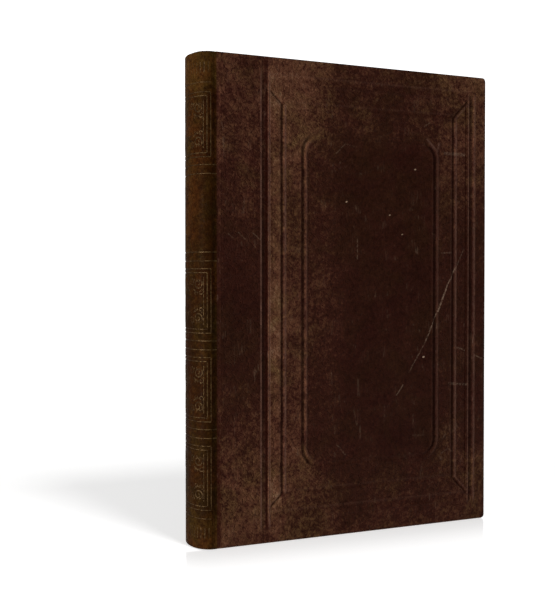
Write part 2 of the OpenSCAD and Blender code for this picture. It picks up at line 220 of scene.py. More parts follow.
class Look:
    """A material, or the world, made of nodes."""

    def __init__(self, name, world=False):
        self.material = (bpy.data.worlds if world else bpy.data.materials).new(name)
        self.material.use_nodes = True
        self.tree = self.material.node_tree
        self.tree.nodes.clear()
        if not world:
            self.point = self.new("ShaderNodeTexCoord").outputs["Object"]

    def new(self, kind, settings=None, *values, **inputs):
        """A node with these settings; values go to its first inputs, the others go by name."""
        made = self.tree.nodes.new(kind)
        for key, value in (settings or {}).items():
            setattr(made, key, value)
        for socket, value in zip(made.inputs, values):
            self.put(socket, value)
        for key, value in inputs.items():
            self.put(made.inputs[key.replace("_", " ")], value)
        return made

    def put(self, socket, value):
        if isinstance(value, bpy.types.NodeSocket):
            self.tree.links.new(value, socket)
        else:
            socket.default_value = value

    def noise(self, size, detail=3.0, rough=0.5, warp=0.0, stretch=None, turn=0.0, out="Fac"):
        """Noise from 0 to 1 with features of about size mm."""
        at = self.point
        if stretch:
            at = self.new("ShaderNodeMapping", Vector=at, Rotation=(0, turn, 0), Scale=stretch).outputs[0]
        return self.new("ShaderNodeTexNoise", Vector=at, Scale=1 / (size * MM), Detail=detail,
                        Roughness=rough, Distortion=warp).outputs[out]

    def patches(self, size, detail, rough, a, b, low=0.0, high=1.0):
        """Noise that goes smoothly from low, where it is below a, to high above b."""
        return self.span(self.noise(size, detail, rough), a, b, low, high)

    def cells(self, size, feature, at):
        """Distance from 0 to about 1 inside cells of about size mm."""
        return self.new("ShaderNodeTexVoronoi", {"feature": feature}, Vector=at,
                        Scale=1 / (size * MM)).outputs["Distance"]

    def span(self, value, a, b, low=0.0, high=1.0, kind="SMOOTHSTEP"):
        """low where value is below a, high above b."""
        settings = {"interpolation_type": kind}
        return self.new("ShaderNodeMapRange", settings, value, a, b, low, high).outputs[0]

    def maths(self, operation, a, b=0.0, clamp=False):
        settings = {"operation": operation, "use_clamp": clamp}
        return self.new("ShaderNodeMath", settings, a, b).outputs[0]

    def times(self, a, b, clamp=False):
        return self.maths("MULTIPLY", a, b, clamp)

    def plus(self, a, b):
        return self.maths("ADD", a, b)

    def vector(self, operation, *values, **inputs):
        made = self.new("ShaderNodeVectorMath", {"operation": operation}, *values, **inputs)
        return made.outputs["Value" if operation in ("LENGTH", "DOT_PRODUCT") else "Vector"]

    def scratch(self, at, a, b, half):
        """1 on the line from a to b, falling to 0 at half mm from it."""
        a, b = Vector(a) * MM, Vector(b) * MM
        way = b - a
        offset = self.vector("SUBTRACT", at, a)
        share = self.maths("DIVIDE", self.vector("DOT_PRODUCT", offset, way), way.length_squared,
                           clamp=True)
        nearest = self.vector("SCALE", way, Scale=share)
        gap = self.vector("LENGTH", self.vector("SUBTRACT", offset, nearest))
        return self.span(gap, 0.25 * half * MM, half * MM, 1.0, 0.0)

    def hairlines(self, turn, size):
        """Sparse fine scratches that run at an angle turn on the cover."""
        lines = self.noise(size, 1, stretch=(1, 1, 0.06), turn=turn)
        off = self.maths("ABSOLUTE", self.maths("SUBTRACT", lines, 0.5))
        thin = self.span(off, 0.002, 0.011, 1.0, 0.0)
        return self.times(thin, self.span(self.noise(7, 3, 0.6, 0.5), 0.56, 0.64))

    def mark(self, name):
        """A number that was worked out for each point of the mesh."""
        return self.new("ShaderNodeAttribute", {"attribute_name": name}).outputs["Fac"]

    def colour(self, socket, value):
        self.put(socket, value if isinstance(value, bpy.types.NodeSocket) else (*value, 1))

    def mix(self, amount, a, b, blend="MIX"):
        made = self.new("ShaderNodeMix", {"data_type": "RGBA", "blend_type": blend})
        self.put(made.inputs[0], amount)
        self.colour(made.inputs[6], a)
        self.colour(made.inputs[7], b)
        return made.outputs[2]

    def bump(self, height, depth, strength=1.0, after=None):
        """Bump whose height of 1 stands depth mm proud."""
        made = self.new("ShaderNodeBump", Height=height, Distance=depth * MM, Strength=strength)
        if after is not None:
            self.put(made.inputs["Normal"], after)
        return made.outputs[0]

    def finish(self, colour, roughness, normal, gloss=0.5, metal=0.0, sheen=0.0):
        shader = self.new("ShaderNodeBsdfPrincipled", Base_Color=colour, Roughness=roughness,
                          Normal=normal, Specular_IOR_Level=gloss, Sheen_Weight=sheen, Metallic=metal)
        self.new("ShaderNodeOutputMaterial", Surface=shader.outputs[0])
        return self.material


# Mottling of old leather: size, detail and reach of each noise
MOTTLE = ((26, 4, 0.3), (7, 4, 0.7), (2.1, 3, 1.3), (1.1, 3, 1.15), (0.6, 2, 0.8))


def leather(name, dyes, ruddy, olive, rubbed_and_lit_edge, burnt_and_shaded, grain=1.0, grain_depth=0.13,
            gloss=0.02, scarred=False):
    """Old calf: mottled dye, tan where rubbed, dark in the stamped lines with painted shade and pale
    beside them with painted highlights, pebbled grain.

    dyes has the colours from the darkest to the palest; ruddy and olive tint its patches. The colour
    beside the stamped lines is their rubbed tone and also a painted highlight; the colour in them is
    burnished dye and dirt with painted shade, and it also darkens the creases.
    """
    look = Look(name)
    deep, mid, tan, pale = dyes
    wear = look.mark("wear")
    tone = wear
    for size, detail, reach in MOTTLE:
        swing = look.times(look.maths("SUBTRACT", look.noise(size, detail, 0.6, 0.3), 0.5), reach)
        tone = look.plus(tone, look.times(swing, look.span(wear, 0.0, 0.7, 0.6, 1.25)))
    tone = look.plus(tone, look.patches(1.0, 4, 0.8, 0.6, 0.76, 0.0, 0.45))
    colour = deep
    for start, end, dye in ((-0.2, 0.45, mid), (0.35, 1.0, tan), (1.0, 1.8, pale)):
        colour = look.mix(look.span(tone, start, end, kind="LINEAR"), colour, dye)
    hue = look.noise(18, 5, 0.68, 0.6)
    colour = look.mix(look.span(hue, 0.4, 0.7, 0.0, 0.6), colour, ruddy, "MULTIPLY")
    colour = look.mix(look.span(hue, 0.3, 0.55, 0.6, 0.0), colour, olive, "MULTIPLY")
    # Edges of the stamped lines are rubbed paler, and lightened more on the side that faces the light
    # from the left, as a painted highlight
    edge = look.times(look.mark("edge"), look.patches(5, 3, 0.6, 0.3, 0.6, 0.45, 1.0), clamp=True)
    colour = look.mix(edge, colour, rubbed_and_lit_edge)
    # Dirt and burnished dye in the stamped lines, set on the wall that turns away from the light as
    # painted shade; the same mark darkens the creases
    dirt_and_shade = look.times(look.mark("cavity"), look.patches(3, 3, 0.6, 0.2, 0.7, 0.8, 1.0), clamp=True)
    colour = look.mix(dirt_and_shade, colour, burnt_and_shaded)
    if scarred:
        colour = look.mix(scars(look), colour, (0.21, 0.145, 0.10))
    # Pebbled grain between fine cracks
    warp = look.noise(1 / 0.9, 2, out="Color")
    warped = look.vector("MULTIPLY_ADD", warp, (0.5 * MM, 0.5 * MM, 0.5 * MM), look.point)
    pebble = look.cells(grain, "SMOOTH_F1", warped)
    crackle = look.cells(grain * 2.6, "DISTANCE_TO_EDGE", warped)
    height = look.maths("SUBTRACT", look.span(crackle, 0.0, 0.12), look.times(pebble, 1.1))
    height = look.plus(height, look.times(look.noise(0.5, 3, 0.6), 0.5))
    calm = look.span(look.mark("calm"), 0, 1, 1.0, 0.5)
    normal = look.bump(look.times(height, calm), grain_depth)
    normal = look.bump(look.noise(6, 4, 0.6), 0.3, 0.6, normal)
    dull = look.plus(look.noise(4, 4, 0.6), look.times(wear, 0.35))
    return look.finish(colour, look.span(dull, 0.3, 0.95, 0.4, 0.66), normal, gloss)


# Scratches of the front cover: both ends (u, v), strength and half width
SCRATCHES = (
    ((130.4, 134.6), (125.7, 125.4), 0.16, 0.45), ((125.7, 125.4), (120.4, 115.8), 0.38, 0.55),
    ((120.4, 115.8), (115.4, 104.2), 0.48, 0.65), ((115.4, 104.2), (108.3, 89.6), 0.3, 0.45),
    ((108.3, 89.6), (99.2, 75.0), 0.19, 0.45), ((95.6, 69.0), (92.1, 64.2), 0.22, 0.45),
    ((119.3, 181.4), (130.4, 181.1), 0.17, 1.1), ((117.5, 132.5), (122.9, 133.0), 0.16, 0.5),
    ((126.2, 86.3), (131.2, 84.6), 0.2, 0.45), ((137.1, 82.1), (141.4, 80.2), 0.2, 0.5),
    ((122.1, 68.6), (132.5, 67.6), 0.18, 0.8), ((117.3, 34.4), (121.6, 36.4), 0.11, 0.5),
    ((121.6, 36.4), (124.4, 34.6), 0.11, 0.5), ((118.0, 41.4), (120.1, 43.9), 0.12, 0.45),
    ((107.5, 193.6), (110.3, 195.5), 0.13, 0.5), ((101.2, 44.2), (107.3, 44.0), 0.07, 0.6),
    ((70.5, 139.2), (70.5, 129.2), 0.2, 0.4), ((59.2, 178.3), (64.0, 183.0), 0.13, 0.45),
    ((64.0, 183.0), (70.0, 181.7), 0.07, 0.45), ((59.2, 43.0), (64.2, 37.6), 0.13, 0.45),
    ((5.4, 140.0), (7.8, 138.2), 0.14, 0.4), ((10.2, 140.6), (13.4, 137.6), 0.14, 0.4),
    ((17.2, 140.4), (20.9, 137.6), 0.15, 0.4))

# Chipped specks: place and half width
SPECKS = (
    (102.0, 172.6, 0.5), (94.7, 141.2, 0.35), (87.8, 150.3, 0.35), (107.2, 82.0, 0.6),
    (64.5, 155.8, 0.5))


def scars(look):
    """Scratches and chipped specks of the front cover, and hairlines anywhere."""
    wander = look.noise(1 / 0.26, out="Color")
    ragged = look.vector("ADD", look.point, look.vector("SCALE", wander, Scale=1.1 * MM))
    centred = look.vector("SUBTRACT", ragged, (0.55 * MM, 0, 0.55 * MM))
    flat = look.vector("MULTIPLY", centred, (1, 0, 1))

    def at(u, v):
        return (JOINT_X + u, 0, v)

    broken = look.patches(1.0, 4, 0.75, 0.40, 0.56)
    found = [look.times(look.scratch(flat, at(*a), at(*b), half), strength)
             for a, b, strength, half in SCRATCHES]
    total = look.times(functools.reduce(lambda a, b: look.maths("MAXIMUM", a, b), found), broken)
    for u, v, half in SPECKS:
        speck = look.scratch(flat, at(u, v), at(u + 0.4, v + 0.15), half)
        total = look.maths("MAXIMUM", total, speck)
    facing = look.new("ShaderNodeSeparateXYZ", Vector=look.point).outputs["Y"]
    total = look.times(total, look.span(facing, -2 * MM, 2 * MM, 1.0, 0.0))
    hair = look.plus(look.hairlines(0.5, 3.0), look.hairlines(-0.9, 2.4))
    return look.maths("MAXIMUM", total, look.times(hair, 0.08), clamp=True)


cover_leather = leather(
    "aged_cover_leather",
    ((0.0085, 0.0020, 0.0010), (0.0220, 0.0067, 0.0036), (0.0600, 0.0264, 0.0125), (0.122, 0.071, 0.039)),
    ruddy=(1.05, 0.85, 1.05), olive=(0.92, 1.14, 0.84), rubbed_and_lit_edge=(0.068, 0.034, 0.024),
    burnt_and_shaded=(0.0095, 0.0010, 0.0001), scarred=True)
back_leather = leather(
    "aged_back_leather",
    ((0.0050, 0.0015, 0.0002), (0.0118, 0.0043, 0.0008), (0.0270, 0.0115, 0.0023), (0.056, 0.028, 0.008)),
    ruddy=(1.25, 0.80, 0.7), olive=(0.82, 1.14, 0.9), rubbed_and_lit_edge=(0.050, 0.028, 0.009),
    burnt_and_shaded=(0.0050, 0.0012, 0.0002), grain=0.9, grain_depth=0.08, gloss=0.008)


def gilt(name):
    """Dull gold leaf, rubbed away in places down to the leather."""
    look = Look(name)
    rubbed_off = look.plus(look.noise(1.3, 4, 0.7), look.times(look.mark("rub"), 0.12))
    bare = look.span(rubbed_off, 0.38, 0.62)
    gold = look.mix(look.noise(0.6, 3, 0.6), (0.070, 0.042, 0.0165), (0.035, 0.019, 0.0070))
    colour = look.mix(bare, gold, (0.0115, 0.0050, 0.0012))
    return look.finish(colour, look.span(bare, 0, 1, 0.5, 0.65), look.bump(look.noise(0.4), 0.02),
                       gloss=0.03, metal=look.span(bare, 0, 1, 0.25, 0.0))


gilding_look = gilt("rubbed_gilding")


def paper(name, clean, stain, line=False):
    """Aged paper: browned and foxed; with line, the edges of many leaves."""
    look = Look(name)

    def darker(share):
        return tuple(share * c for c in stain)

    age = look.noise(40, 4, 0.6, 0.5)
    fox = look.patches(3.2, 2, 0.5, 0.66, 0.78)
    colour = look.mix(look.span(age, 0.3, 0.75), clean, stain)
    # Browned by the leather's turn-ins and by air, in from the three open edges
    at = look.new("ShaderNodeSeparateXYZ", Vector=look.point).outputs
    uneven = look.patches(9, 3, 0.6, 0.3, 0.7, -4 * MM, 4 * MM)
    height = look.plus(at["Z"], uneven)
    brown = look.span(look.plus(at["X"], uneven), (BLOCK_FORE_X - 16) * MM, BLOCK_FORE_X * MM)
    brown = look.maths("MAXIMUM", brown, look.span(height, (COVER_H - 20) * MM, COVER_H * MM))
    brown = look.maths("MAXIMUM", brown, look.span(height, 0.0, 20 * MM, 1.0, 0.0))
    colour = look.mix(look.times(brown, 0.75), colour, darker(0.5))
    colour = look.mix(look.times(fox, 0.45), colour, darker(0.55))
    fibre = look.noise(0.35, 3, 0.6)
    relief = fibre
    if line:
        leaf = look.noise(1 / 9, 2, stretch=(0.03, 1, 0.03))
        colour = look.mix(look.span(leaf, 0.35, 0.65, 0.55, 0.0), colour, darker(0.4))
        relief = leaf
    return look.finish(colour, look.span(fibre, 0, 1, 0.8, 0.95), look.bump(relief, 0.03, 0.7), 0.15)


page_paper = paper("aged_page_edges", (0.50, 0.38, 0.22), (0.36, 0.25, 0.13), line=True)
end_paper = paper("aged_endpaper", (0.46, 0.35, 0.20), (0.33, 0.22, 0.11))


def weave(name, light, dark, pitch):
    """Plain coarse cloth, its threads pitch mm apart."""
    look = Look(name)
    # A wave texture of scale 1 repeats every 0.314 m
    threads = [look.new("ShaderNodeTexWave", {"bands_direction": way}, Vector=look.point,
                        Scale=0.314 / (pitch * MM), Distortion=0.6).outputs["Fac"] for way in "XZ"]
    cloth = look.times(threads[0], threads[1])
    tone = look.plus(look.times(cloth, 0.7), look.times(look.noise(6), 0.4))
    return look.finish(look.mix(tone, dark, light), look.span(cloth, 0, 1, 0.95, 0.85),
                       look.bump(cloth, 0.12), 0.1, sheen=0.1)


mull = weave("lining_mull", (0.42, 0.37, 0.27), (0.24, 0.19, 0.12), 0.7)


def board(name):
    """Grey-brown millboard with flecks of fibre."""
    look = Look(name)
    fleck = look.noise(1.1, 5, 0.75)
    layer = look.noise(0.5, 2, 0.5, stretch=(0.1, 1, 0.1))
    colour = look.mix(look.span(fleck, 0.3, 0.7), (0.15, 0.115, 0.075), (0.26, 0.21, 0.145))
    colour = look.mix(look.span(layer, 0.3, 0.7, 0.3, 0.0), colour, (0.09, 0.07, 0.045))
    return look.finish(colour, look.span(fleck, 0, 1, 0.85, 0.97), look.bump(fleck, 0.08), 0.1)


millboard = board("millboard")


def hemp(name):
    """Twisted sewing cord."""
    look = Look(name)
    twist = look.new("ShaderNodeTexWave", {"bands_direction": "DIAGONAL"}, Vector=look.point,
                     Scale=560, Distortion=1.2).outputs["Fac"]
    colour = look.mix(twist, (0.16, 0.105, 0.05), (0.36, 0.27, 0.15))
    return look.finish(colour, look.span(twist, 0, 1, 0.9, 0.75), look.bump(twist, 0.2), 0.15)


cord_hemp = hemp("hemp_cord")


def silk(name):
    """Faded silk of an endband: wraps in two colours, given by the mark strand."""
    look = Look(name)
    fade = look.noise(1.5, 3, 0.6)
    red = look.mix(fade, (0.17, 0.022, 0.014), (0.27, 0.06, 0.035))
    cream = look.mix(fade, (0.42, 0.31, 0.17), (0.55, 0.44, 0.27))
    colour = look.mix(look.mark("strand"), red, cream)
    thread = look.noise(0.16, 2, 0.5)
    return look.finish(colour, look.span(thread, 0, 1, 0.45, 0.65), look.bump(thread, 0.03), 0.4,
                       sheen=0.15)


band_silk = silk("endband_silk")


# The covers

def ring_distance(u, v, mid, half, radius):
    """Signed distance from a rounded rectangle, and how far its edge there is level."""
    qx, qy = np.abs(u - mid[0]) - (half[0] - radius), np.abs(v - mid[1]) - (half[1] - radius)
    out = np.hypot(np.maximum(qx, 0), np.maximum(qy, 0))
    level = np.where(out > 1e-6, np.maximum(qy, 0) / np.maximum(out, 1e-6), qy > qx)
    return out + np.minimum(np.maximum(qx, qy), 0) - radius, level ** 2


def crease_darkening(z):
    """Darker in the joints, most towards the foot."""
    return 0.08 + 0.36 * fall(z, 20, 130)


def joint_darkening(u, v):
    """Darker on a cover beside its joint, with a dark seam near the foot."""
    seam = 1.4 * fall(u, 1.5, 2.1) * fall(v, 30, 80)
    return crease_darkening(v) * (0.45 * fall(u, 0.8, 3.6) + seam)


def groove(away):
    """Depth of the crease along a joint, at a distance away from it."""
    return CREASE_DEPTH * np.clip(1 - (away / CREASE_HALF) ** 2, 0, 1)


def stamping(u, v, seed):
    """Depth of a cover's skin in mm at (u, v), and the marks that its leather reads."""
    depth = np.full(np.broadcast(u, v).shape, LEVEL)
    cavity, lit = np.zeros_like(depth), np.zeros_like(depth)

    def stroke(across, along, start, end, half, deep, dirt_and_shade, lip=0.0, soft=0.4, floor=0.1,
               dirt_and_shade_at=0.0, dirt_and_shade_half=0.9, rub=0.15):
        """One stamped line: a flat floor, two walls, lips pushed up beside it, dirt in it with painted
        shade on its shadowed wall, and painted highlights on its lips.
        """
        nonlocal depth, cavity, lit
        extent = within(along, start, end, soft)
        t = np.abs(across)
        cut = extent * fall(t, floor, half)
        rise = extent * hump(t - half - 0.2, 0.65)
        depth = np.maximum(depth, LEVEL + deep * cut) - lip * rise * (depth < LEVEL + 0.05)
        # Dark in the line, moved onto the wall away from the light: dirt with painted shade
        cavity = np.maximum(cavity, dirt_and_shade * extent * fall(np.abs(across - dirt_and_shade_at), 0.15, dirt_and_shade_half))
        # Pale lips, worn and with a painted highlight, strongest on the side that faces the light
        lit = np.maximum(lit, rise * lip / 0.13 * np.where(across > 0, 0.8, rub))

    # Channels beside the joint and at the fore-edge, with a finer line inside each
    near, far = CHANNEL_U
    # Where the dark sits in each channel and how pale each lip is follow the light from the left: painted
    # shade and painted highlight
    stroke(u - near, v, 7.0, 213.0, soft=2.5, floor=1.1, half=1.9, deep=0.52, lip=0.14, dirt_and_shade=0.75,
           dirt_and_shade_at=0.6, dirt_and_shade_half=0.95, rub=0.85)
    stroke(u - near, v, 205.0, COVER_H, soft=3.0, floor=1.1, half=1.9, deep=0.22, lip=0.03, dirt_and_shade=0.45,
           dirt_and_shade_at=0.2, dirt_and_shade_half=1.3)
    stroke(u - far, v, 9.5, 211.0, soft=2.0, floor=0.85, half=1.65, deep=0.62, lip=0.11, dirt_and_shade=0.6,
           dirt_and_shade_at=-0.9, dirt_and_shade_half=0.8, rub=0.6)
    stroke(u - near - 3.15, v, 16, 206, soft=1.5, half=0.55, deep=0.06, dirt_and_shade=0.15)
    stroke(u - far + 3.4, v, 15, 207, soft=1.5, half=0.6, deep=0.2, dirt_and_shade=0.6)
    for v0 in CHANNEL_V:
        stroke(v - v0, u, 24, 134, soft=4.0, floor=1.1, half=2.0, deep=0.18, lip=0.03, dirt_and_shade=0.12,
               dirt_and_shade_half=1.6)
    # Inner lines, with a mitre out from each of their corners
    for u0 in LINE_U:
        stroke(u - u0, v, *LINE_V, half=1.25, deep=0.68, lip=0.13, dirt_and_shade=0.65, dirt_and_shade_at=-0.4,
               dirt_and_shade_half=0.65)
    for v0 in LINE_V:
        stroke(v - v0, u, *LINE_U, half=1.2, deep=0.14, lip=0.02, dirt_and_shade=0.14)
    for u0, out_u in zip(LINE_U, (-1, 1)):
        for v0, out_v in zip(LINE_V, (-1, 1)):
            a, b = (u - u0) * out_u, (v - v0) * out_v
            reach = 8.0 if out_u < 0 else 12.0
            stroke((a - b) / math.sqrt(2), (a + b) / math.sqrt(2), 0.2, reach, soft=0.8, half=0.85,
                   deep=0.5, lip=0.07, dirt_and_shade=0.6)
    # The panel's outline, fainter where it runs level
    d, level = ring_distance(u, v, PANEL_MID, PANEL_HALF, PANEL_R)
    share = 1 - 0.72 * smooth(level, 0.35, 1.0)
    toward = np.where(u < PANEL_MID[0], 1, -1)
    lips = hump(np.abs(d) - 1.55, 0.65)
    depth = np.maximum(depth, LEVEL + 0.68 * share * fall(np.abs(d), 0.25, 1.3))
    depth = depth - 0.12 * share * lips
    # The outline's dark is moved onto the wall away from the light, as painted shade
    cavity = np.maximum(cavity, 0.65 * share ** 2 * hump(d - 0.5 * toward, 0.75))
    # Its lips are paler on the side towards the light, a painted highlight
    lit = np.maximum(lit, (share - 0.28) * lips * np.where(d * toward < 0, 0.5, 0.1))
    # The block was struck unevenly, and left a kink at one corner
    for (u0, v0), (u1, v1) in (((109.0, 187.6), (114.6, 182.4)), ((114.9, 182.0), (115.7, 185.8))):
        way = math.hypot(u1 - u0, v1 - v0)
        t = np.clip(((u - u0) * (u1 - u0) + (v - v0) * (v1 - v0)) / way ** 2, 0, 1)
        ridge = hump(np.hypot(u - u0 - t * (u1 - u0), v - v0 - t * (v1 - v0)), 0.8)
        depth = depth - 0.1 * ridge
        # The kink's ridge is lightened as a painted highlight
        lit = np.maximum(lit, 0.7 * ridge)
    inside = fall(d, -2.5, -1.0)

    # Bevel of the moulding, gentle swells and small dents of an old board
    from_u = np.minimum(u - CHANNEL_U[0], CHANNEL_U[1] - u) - 2
    from_v = np.minimum(v - CHANNEL_V[0], CHANNEL_V[1] - v) - 2
    inward = np.minimum(from_u, from_v)
    depth = depth + np.where(inward > 0, 0.12 * fall(inward, 0.0, 5.5), 0) * (cavity < 0.05)
    depth = depth + 0.05 * waves(u, v, seed, 60) + 0.022 * waves(u, v, seed + 1, 14)
    dents = np.random.default_rng(seed + 2)
    for _ in range(22):
        du, dv = dents.uniform(4, 138), dents.uniform(6, 214)
        deep, half = dents.uniform(0.04, 0.12), dents.uniform(1.0, 3.5)
        depth = depth + deep * hump(np.hypot(u - du, v - dv), half)
    # Crease along the joint, lower still where the joint's own strip lies on it
    depth = depth + groove(u) + 0.13 * fall(u, 2.1, 2.6)
    cavity = np.maximum(cavity, joint_darkening(u, v))
    return np.clip(depth, 0.02, 1.1), cavity, lit, inside


def rubbed(u, v, inside, seed):
    """How tan the leather is worn: most beside the joint, at the head and at the tail."""
    def head(a, b):
        return smooth(v, a, b)

    def foot(a, b):
        return fall(v, a, b)

    def mound(mid, half):
        return np.exp(-((v - mid) / half) ** 2)

    joint, fore = fall(u, 22.6, 24.6), smooth(u, 114, 117)
    moulding = within(u, 24.8, 31.4, 0.4)
    field = smooth(u, 31.0, 31.8) * fall(u, 42, 64) * (1 - inside)
    middle = np.clip(1 - joint - fore - moulding - field, 0, 1)
    wear = joint * (0.10 + 0.38 * head(100, 215) + 0.52 * foot(15, 90) - 0.12 * foot(4, 12))
    wear = wear + moulding * (0.70 + 0.24 * mound(105, 30) + 0.38 * mound(203, 14) + 0.36 * mound(20, 8)
                              - 0.14 * foot(6, 13) + 0.22 * waves(u, v, seed + 7, 9))
    wear = wear + field * (0.50 + 0.25 * head(158, 182) + 0.08 * foot(38, 62))
    panel = fall(u, 46, 74) * (0.17 + 0.2 * mound(108, 26) + 0.1 * head(165, 180))
    wear = wear + middle * (0.07 + 0.23 * head(176, 190) + 0.08 * head(208, 217) + 0.2 * foot(18, 48)
                            + 0.1 * foot(2, 8) + inside * panel)
    corner = smooth(u, 124, 134) * (0.12 * head(165, 200) + 0.2 * mound(29, 9))
    wear = wear + fore * (0.17 + 0.36 * head(115, 195) + 0.2 * foot(18, 70) + corner
                          + 0.2 * head(206, 217))
    rim = np.exp(-np.minimum(np.minimum(v, COVER_H - v), COVER_W - u) / 0.9)
    return wear + 0.15 * rim + 0.06 * waves(u, v, seed + 6, 25)


# Where a cover's mesh is finer: start, end and step along u and along v
FINE_U = (
    (19.8, 27.4, 0.28), (25.4, 30.4, 0.42), (30.0, 33.8, 0.26), (40.2, 45.0, 0.3),
    (45.0, 51.0, 0.55), (105.0, 111.0, 0.55), (111.0, 116.0, 0.3), (122.0, 126.2, 0.26),
    (126.0, 130.6, 0.42), (130.0, 138.2, 0.28), (COVER_W - 3, COVER_W - EDGE_R, 0.2),
    (0, 3, 0.3))
FINE_V = (
    (7.5, 15.5, 0.36), (15.5, 24.0, 0.42), (32.0, 37.0, 0.36), (37.0, 44.0, 0.6),
    (176.0, 183.5, 0.6), (183.5, 188.5, 0.36), (197.5, 206.5, 0.42), (206.5, 214.0, 0.36),
    (0, 2, 0.2), (COVER_H - 4, COVER_H - 2 * EDGE_R, 0.2))
COVER_STEP = 1.5


def round_corner(p):
    """Points near the two fore-edge corners, moved from a square onto a rounded outline."""
    p = p.copy()
    for v_mid, way in ((CORNER_R, -1), (COVER_H - CORNER_R, 1)):
        a, b = p[:, 0] - (COVER_W - CORNER_R), (p[:, 1] - v_mid) * way
        near = (a > 0) & (b > 0)
        far = np.maximum(a, b)
        turn = np.where(a >= b, b / np.maximum(a, 1e-9), 2 - a / np.maximum(b, 1e-9)) * math.pi / 4
        p[near, 0] = (COVER_W - CORNER_R + far * np.cos(turn))[near]
        p[near, 1] = (v_mid + way * far * np.sin(turn))[near]
    return p


def edge_row(square, is_tail, is_head, inset):
    """The face's border moved to this inset from the outline, its corners rounded."""
    is_fore = ~(is_tail | is_head)
    p = square.copy()
    p[is_tail, 1] = inset
    p[is_head, 1] = COVER_H - inset
    p[is_fore, 0] = COVER_W - inset
    # Near a corner the points draw together as its radius shrinks
    spread = max(CORNER_R - inset, 0) / (CORNER_R - EDGE_R)
    for axis, mid, near in ((0, COVER_W - CORNER_R, ~is_fore & (square[:, 0] > COVER_W - CORNER_R)),
                            (1, CORNER_R, is_fore & (square[:, 1] < CORNER_R)),
                            (1, COVER_H - CORNER_R, is_fore & (square[:, 1] > COVER_H - CORNER_R))):
        p[near, axis] = mid + (square[near, axis] - mid) * spread
    p = round_corner(p)
    if inset > CORNER_R:
        p[:, 0] = np.minimum(p[:, 0], COVER_W - inset)
        p[:, 1] = np.clip(p[:, 1], inset, COVER_H - inset)
    return p


def cover_skin(name, body, side, seed, replaced):
    """Leather of one cover as a closed skin: face, three edges and the turn-ins inside."""
    us = stations(COVER_W - EDGE_R, FINE_U, COVER_STEP)
    fine_v = [(a - EDGE_R, b - EDGE_R, step) for a, b, step in FINE_V]
    vs = EDGE_R + stations(COVER_H - 2 * EDGE_R, fine_v, COVER_STEP)
    n, m = len(us), len(vs)
    uu, vv = np.meshgrid(us, vs, indexing="ij")
    square = np.stack([uu.ravel(), vv.ravel()], 1)
    plan = round_corner(square)
    depth, cavity, lit, inside = stamping(plan[:, 0], plan[:, 1], seed)
    face = np.arange(n * m).reshape(n, m)

    # Border of the face from the tail's joint end, round the fore-edge, to the head's
    border = np.concatenate([face[:, 0], face[-1, 1:-1], face[::-1, -1]])
    square = square[border]
    arc = np.arange(len(border))
    is_tail, is_head = arc < n, arc >= n + m - 2

    # Section round an edge: inset from the outline, and depth, down to the board
    inner, end = LEATHER_T + BOARD_T, LEATHER_T + TURNIN_W
    turnin = inner + TURNIN_T
    section = [(EDGE_R * (1 - math.sin(t)), EDGE_R * (1 - math.cos(t)))
               for t in np.radians(np.arange(15, 91, 15))]
    rounded = len(section)
    section += [(0.03, 1.7), (0.03, 2.6), (0.0, 3.35), (0.05, 3.6), (0.18, 3.74), (0.4, turnin),
                (CORNER_R, turnin), (TURNIN_W / 2, turnin), (end - 0.1, turnin), (end, turnin - 0.08),
                (end, inner), (CORNER_R + 0.2, inner), (LEATHER_T, inner - 0.1), (LEATHER_T, LEATHER_T)]
    uneven = 0.05 * waves(square[:, 0], square[:, 1], seed + 9, 18)
    plans, depths, rings = [plan], [depth], [border]
    for k, (inset, deep) in enumerate(section):
        relief = depth[border] * max(0.0, 1 - (k + 1) / rounded)
        on_edge = rounded <= k < rounded + 3
        plans.append(edge_row(square, is_tail, is_head, inset))
        depths.append(np.clip(relief + deep + (uneven if on_edge else 0), 0, turnin))
        rings.append(n * m + k * len(border) + arc)
    plan, deep, rings = np.concatenate(plans), np.concatenate(depths), np.stack(rings)
    verts = np.stack([JOINT_X + plan[:, 0], side * (HALF_T - deep), plan[:, 1]], 1)
    faces = quads(face) + quads(rings)
    faces.append(rings[-1].tolist())
    faces.append(rings[:, -1].tolist() + rings[::-1, 0].tolist() + face[0, 1:-1].tolist())

    beyond = np.zeros(len(plan) - n * m)
    cavity, lit, inside = (np.concatenate([mark, beyond]) for mark in (cavity, lit, inside))
    marks = {"wear": rubbed(plan[:, 0], plan[:, 1], inside, seed), "edge": lit, "cavity": cavity,
             "calm": 0.7 * inside * smooth(plan[:, 0], 45, 75)}
    build(name, verts, faces, body, cover_leather, marks, replaces=replaced)


cover_skin("front_cover_skin", "front_cover", -1, FRONT_SEED, ("front_leather",))
cover_skin("rear_cover_skin", "rear_cover", 1, REAR_SEED, ("rear_leather",))


# The back

def back_point(s, d):
    """(x, y) on the back at arc length s and depth d."""
    s, d = np.asarray(s, float), np.asarray(d, float)
    wide = np.abs(s) <= BACK_LEN
    past = np.minimum(math.pi / 2, BACK_ANGLE + (np.abs(s) - BACK_LEN) / SHOULDER_R)
    turn = np.where(wide, s / BACK_R, np.sign(s) * past)
    r = np.where(wide, BACK_R, SHOULDER_R) - d
    x = np.where(wide, BACK_X, SHOULDER_X + np.maximum(0, np.abs(s) - ROUND_LEN))
    y = np.where(wide, 0, -np.sign(s) * SHOULDER_Y)
    return x - r * np.cos(turn), y - r * np.sin(turn)


